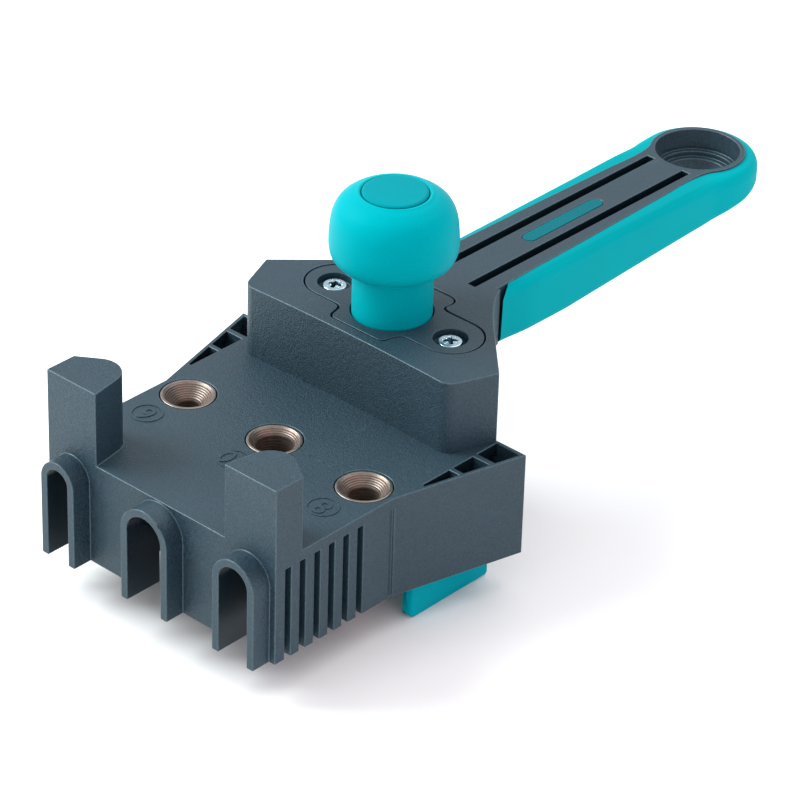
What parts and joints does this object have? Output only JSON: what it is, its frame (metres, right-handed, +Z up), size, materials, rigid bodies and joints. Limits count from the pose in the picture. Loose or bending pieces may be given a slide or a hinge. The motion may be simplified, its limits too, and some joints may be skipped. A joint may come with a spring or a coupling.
{
  "type": "handheld dowelling jig",
  "caption": "Handheld dowelling jig: steel drill bushes in a ribbed plastic guide body, sprung stop legs lifted by a mushroom knob, dowel arches in front and a rear handle with a soft grip.",
  "frame": {"origin": "bottom centre of the whole jig's box, level with the tips of the lowered stop legs", "axes": "+X to the right seen from the drill side with the handle behind, +Y from the dowel arches towards the handle's ring, +Z up along the drill bushes"},
  "size_m": [0.1034, 0.2384, 0.0985],
  "materials": {
    "body_plastic": "fine-grained moulded slate plastic",
    "cover_plastic": "fine-grained moulded slate plastic, a little darker",
    "soft_grip": "soft-touch overmould in teal",
    "teal_plastic": "satin moulded teal plastic",
    "stop_plastic": "satin moulded teal plastic",
    "bush_steel": "turned and heat-tinted hardened steel",
    "screw_zinc": "bright zinc plate",
    "bridge_steel": "zinc-plated pressed steel",
    "spring_steel": "drawn spring wire",
    "rod_steel": "turned steel"
  },
  "bodies": {
    "jig": {"guide_body": "body_plastic", "handle_body": "body_plastic", "handle_grip": "soft_grip", "handle_inlay": "teal_plastic", "cover_plate": "cover_plastic", "cover_screw_left": "screw_zinc", "cover_screw_right": "screw_zinc", "drill_bush_6": "bush_steel", "drill_bush_10": "bush_steel", "drill_bush_8": "bush_steel", "assembly_screw_1": "screw_zinc", "assembly_screw_2": "screw_zinc", "assembly_screw_3": "screw_zinc", "assembly_screw_4": "screw_zinc", "return_spring": "spring_steel"},
    "stop": {"stop_leg_left": "stop_plastic", "stop_leg_right": "stop_plastic", "stop_bridge": "bridge_steel", "leg_screw_left": "screw_zinc", "leg_screw_right": "screw_zinc"},
    "knob": {"knob": "teal_plastic", "knob_disc": "teal_plastic", "spindle": "rod_steel", "spindle_washer": "screw_zinc", "spindle_nut": "screw_zinc"}
  },
  "joints": [
    {"name": "stop_lift", "type": "slide", "parent": "jig", "child": "stop", "axis": [0, 0, 1], "range_m": [0, 0.011], "stiffness_N_per_m": 600, "springref_m": -0.014, "deforming": ["return_spring"]},
    {"name": "knob_turn", "type": "hinge", "parent": "stop", "child": "knob", "pos_m": [0, -0.0269, 0.0615], "axis": [0, 0, 1], "range_deg": [0, 90]}
  ]
}
